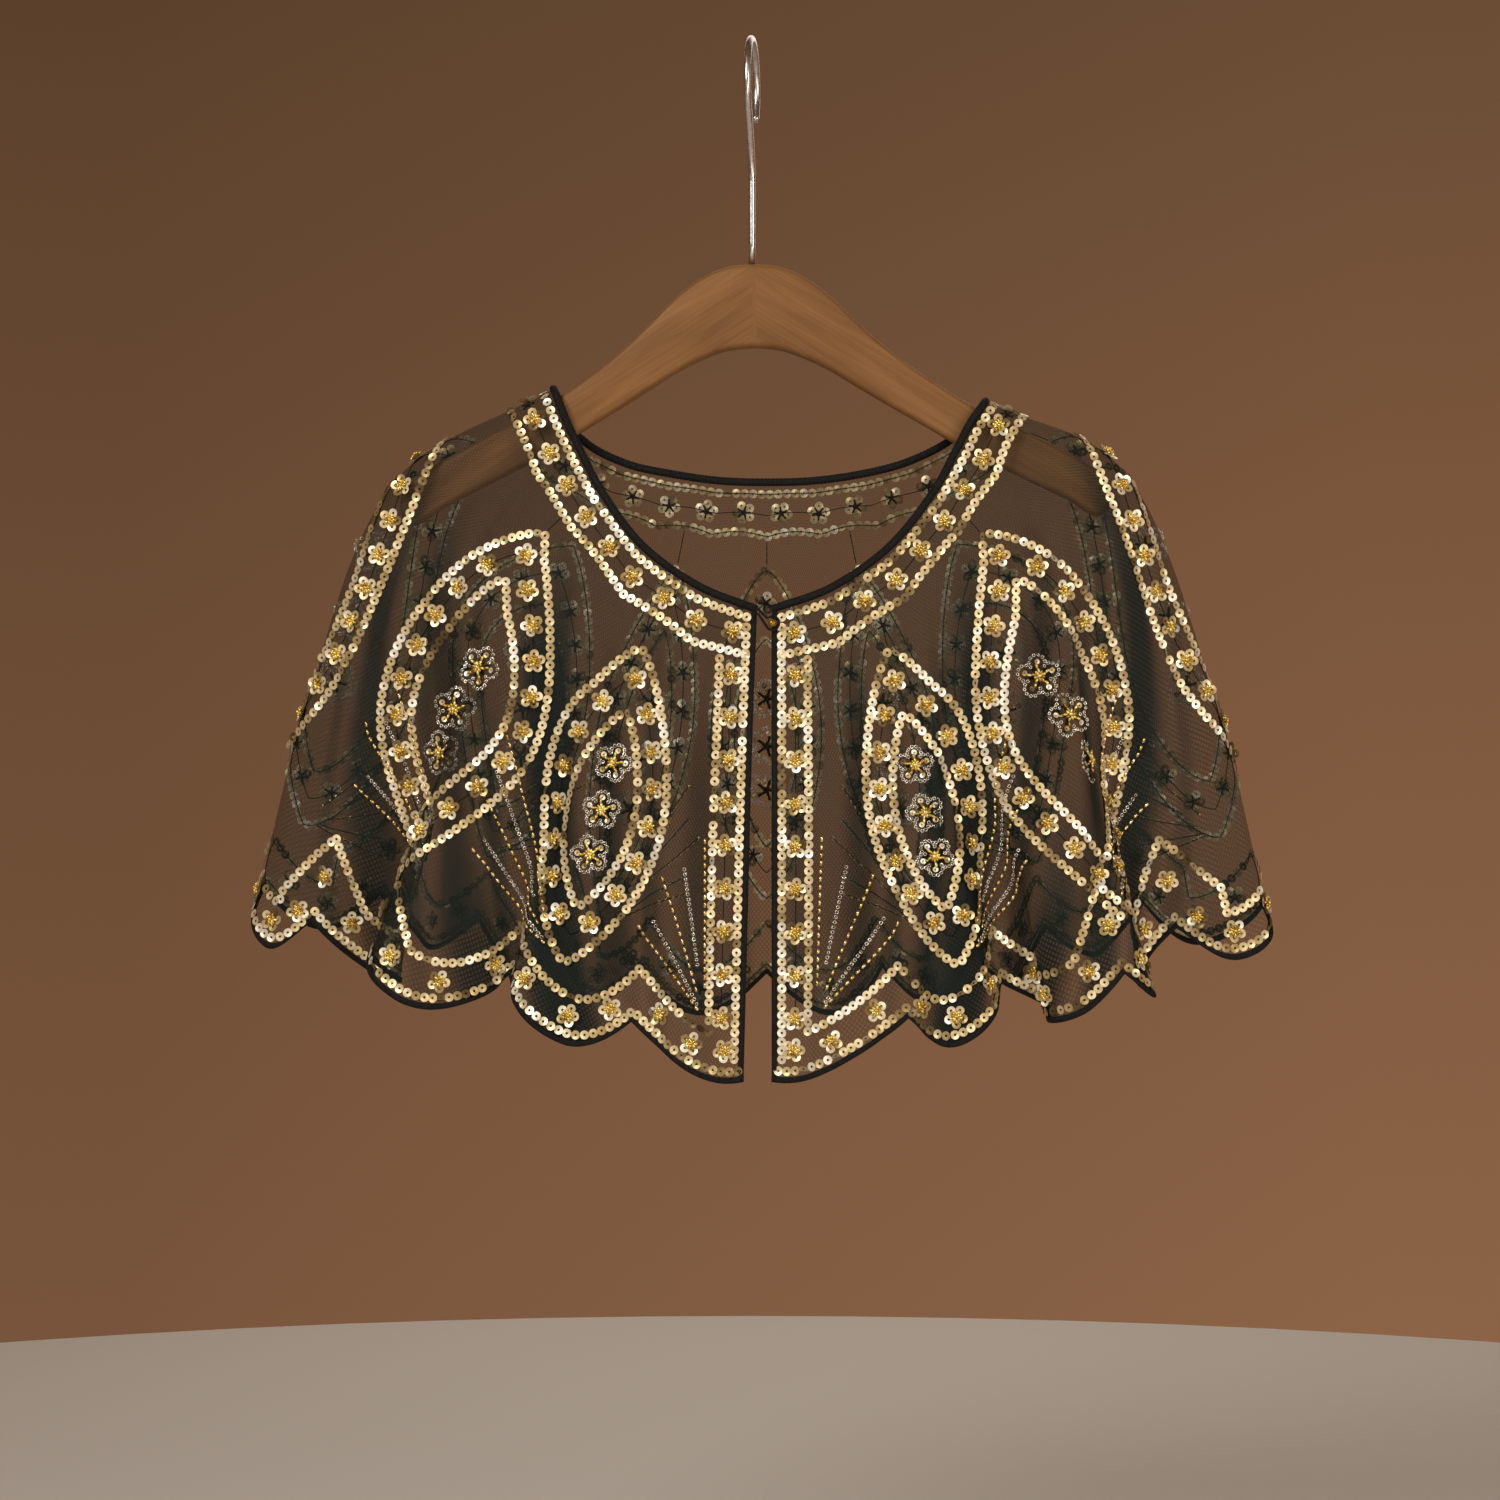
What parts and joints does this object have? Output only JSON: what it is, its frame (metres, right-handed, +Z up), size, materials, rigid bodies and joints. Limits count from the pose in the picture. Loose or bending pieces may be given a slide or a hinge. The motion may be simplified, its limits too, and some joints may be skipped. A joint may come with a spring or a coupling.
{
  "type": "evening stole on hanger",
  "caption": "Short open-front evening capelet of sheer black net with scalloped hem, gold sequins and flowers, draped over a wooden clothes hanger with a steel hook",
  "frame": {"origin": "inside top of the hanger hook's bend, where a rail carries it", "axes": "+Z up, +X to the right seen from the front, +Y to the back; the hanger's arms lie along X"},
  "size_m": [0.6134, 0.1192, 0.6242],
  "materials": {
    "net": "fine sheer black tulle, matt",
    "cord": "black sewn edging and piping",
    "gold": "pale and deep gold sequins, beads and glass",
    "wood": "satin varnished mid-brown hardwood",
    "steel": "plated steel wire, satin"
  },
  "bodies": {
    "root": {"net_front_left": "net", "net_back": "net", "net_front_right": "net", "neck_piping": "cord", "front_binding_left": "cord", "front_binding_right": "cord", "hem_binding": "cord", "closure_loop": "cord", "closure_bead": "gold", "hanger_wood": "wood", "hanger_hook": "steel"}
  },
  "joints": []
}
